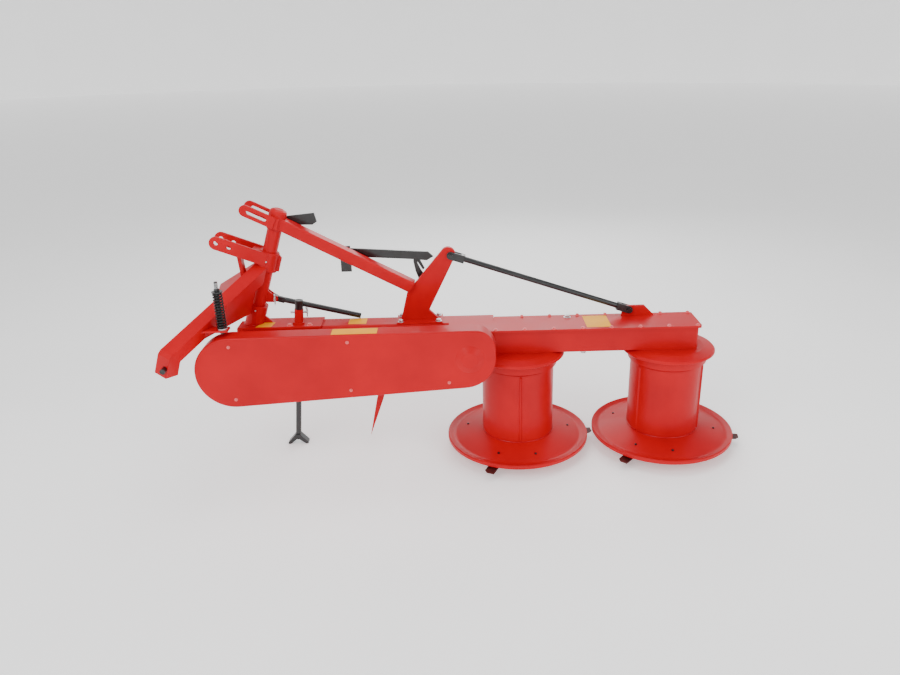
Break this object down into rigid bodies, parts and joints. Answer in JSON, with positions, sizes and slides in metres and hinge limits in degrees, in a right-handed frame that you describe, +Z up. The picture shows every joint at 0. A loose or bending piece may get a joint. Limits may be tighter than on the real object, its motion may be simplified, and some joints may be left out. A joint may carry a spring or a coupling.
{
  "type": "drum mower",
  "caption": "Rear-mounted drum mower with dished cutting discs, long belt guard, swinging three-point headstock, stayed gear case and parking stand.",
  "frame": {"origin": "on the ground under the middle of the whole machine's box", "axes": "+X along the cutter bar from the headstock to the outer drum, +Y from the belt guard to the frame beam, +Z up"},
  "size_m": [2.441, 0.9326, 1.1172],
  "materials": {
    "red_paint": "gloss",
    "black_paint": "satin",
    "bright_steel": "machined",
    "spring_paint": "satin",
    "saucer_steel": "satin",
    "knife_steel": "satin"
  },
  "bodies": {
    "frame": {"belt_guard": "red_paint", "boom": "red_paint", "boom_head": "red_paint", "case_cover": "red_paint", "column": "red_paint", "column_cap": "red_paint", "column_foot": "red_paint", "driven_housing": "red_paint", "frame_beam": "red_paint", "gear_case": "red_paint", "guard_back": "red_paint", "head_bar": "black_paint", "inner_lid": "red_paint", "inner_spindle": "bright_steel", "input_housing": "red_paint", "lock_bracket": "black_paint", "lock_hook": "black_paint", "outer_lid": "red_paint", "outer_spindle": "bright_steel", "rest_bar": "red_paint", "stand_socket": "red_paint", "stay_clevises": "black_paint", "stay_lug": "red_paint", "stay_rod": "black_paint", "strut_fork": "red_paint", "tower": "red_paint"},
    "headstock": {"pivot_boss": "red_paint", "pivot_collar": "red_paint", "link_ears": "red_paint", "ear_brace": "red_paint", "near_leg": "red_paint", "far_leg": "red_paint", "leg_webs": "red_paint", "link_pins": "black_paint", "spring": "spring_paint", "spring_rod": "black_paint", "spring_bracket": "red_paint"},
    "inner_cutter": {"inner_drum": "red_paint", "inner_disc": "red_paint", "inner_knives": "knife_steel"},
    "outer_cutter": {"outer_drum": "red_paint", "outer_disc": "red_paint", "outer_knives": "knife_steel"},
    "inner_saucer_body": {"inner_saucer": "saucer_steel"},
    "outer_saucer_body": {"outer_saucer": "saucer_steel"},
    "stand": {"stand_leg": "black_paint"},
    "input": {"input_shaft": "bright_steel"},
    "lock": {"lock_bar": "black_paint"},
    "strut_body": {"strut": "black_paint"}
  },
  "joints": [
    {"name": "headstock_swing", "type": "hinge", "parent": "frame", "child": "headstock", "pos_m": [-0.93075, 0, 0.59], "axis": [0.309, 0, 0.9511], "range_deg": [-90, 0]},
    {"name": "inner_drum_spin", "type": "hinge", "parent": "frame", "child": "inner_cutter", "pos_m": [0.21825, -0.09, 0.26], "axis": [0, 0, 1], "continuous": true},
    {"name": "outer_drum_spin", "type": "hinge", "parent": "frame", "child": "outer_cutter", "pos_m": [0.87825, -0.09, 0.26], "axis": [0, 0, 1], "continuous": true},
    {"name": "input_shaft_spin", "type": "hinge", "parent": "frame", "child": "input", "pos_m": [-0.94975, 0.1, 0.499], "axis": [0, 1, 0], "continuous": true},
    {"name": "inner_saucer_spin", "type": "hinge", "parent": "frame", "child": "inner_saucer_body", "pos_m": [0.21825, -0.09, 0.03], "axis": [0, 0, 1], "continuous": true},
    {"name": "outer_saucer_spin", "type": "hinge", "parent": "frame", "child": "outer_saucer_body", "pos_m": [0.87825, -0.09, 0.03], "axis": [0, 0, 1], "continuous": true},
    {"name": "stand_slide", "type": "slide", "parent": "frame", "child": "stand", "axis": [0.1045, 0, 0.9945], "range_m": [0, 0.22]},
    {"name": "lock_bar_swing", "type": "hinge", "parent": "frame", "child": "lock", "pos_m": [-0.51675, 0.045, 0.886], "axis": [0, 1, 0], "range_deg": [-60, 0]},
    {"name": "strut_swing", "type": "hinge", "parent": "frame", "child": "strut_body", "pos_m": [-0.82675, -0.002, 0.702], "axis": [0, 1, 0], "range_deg": [-30, 0]}
  ],
  "couplings": [
    {"joint": "outer_drum_spin", "follows": "inner_drum_spin", "ratio": -1},
    {"joint": "input_shaft_spin", "follows": "inner_drum_spin", "ratio": 0.3}
  ]
}
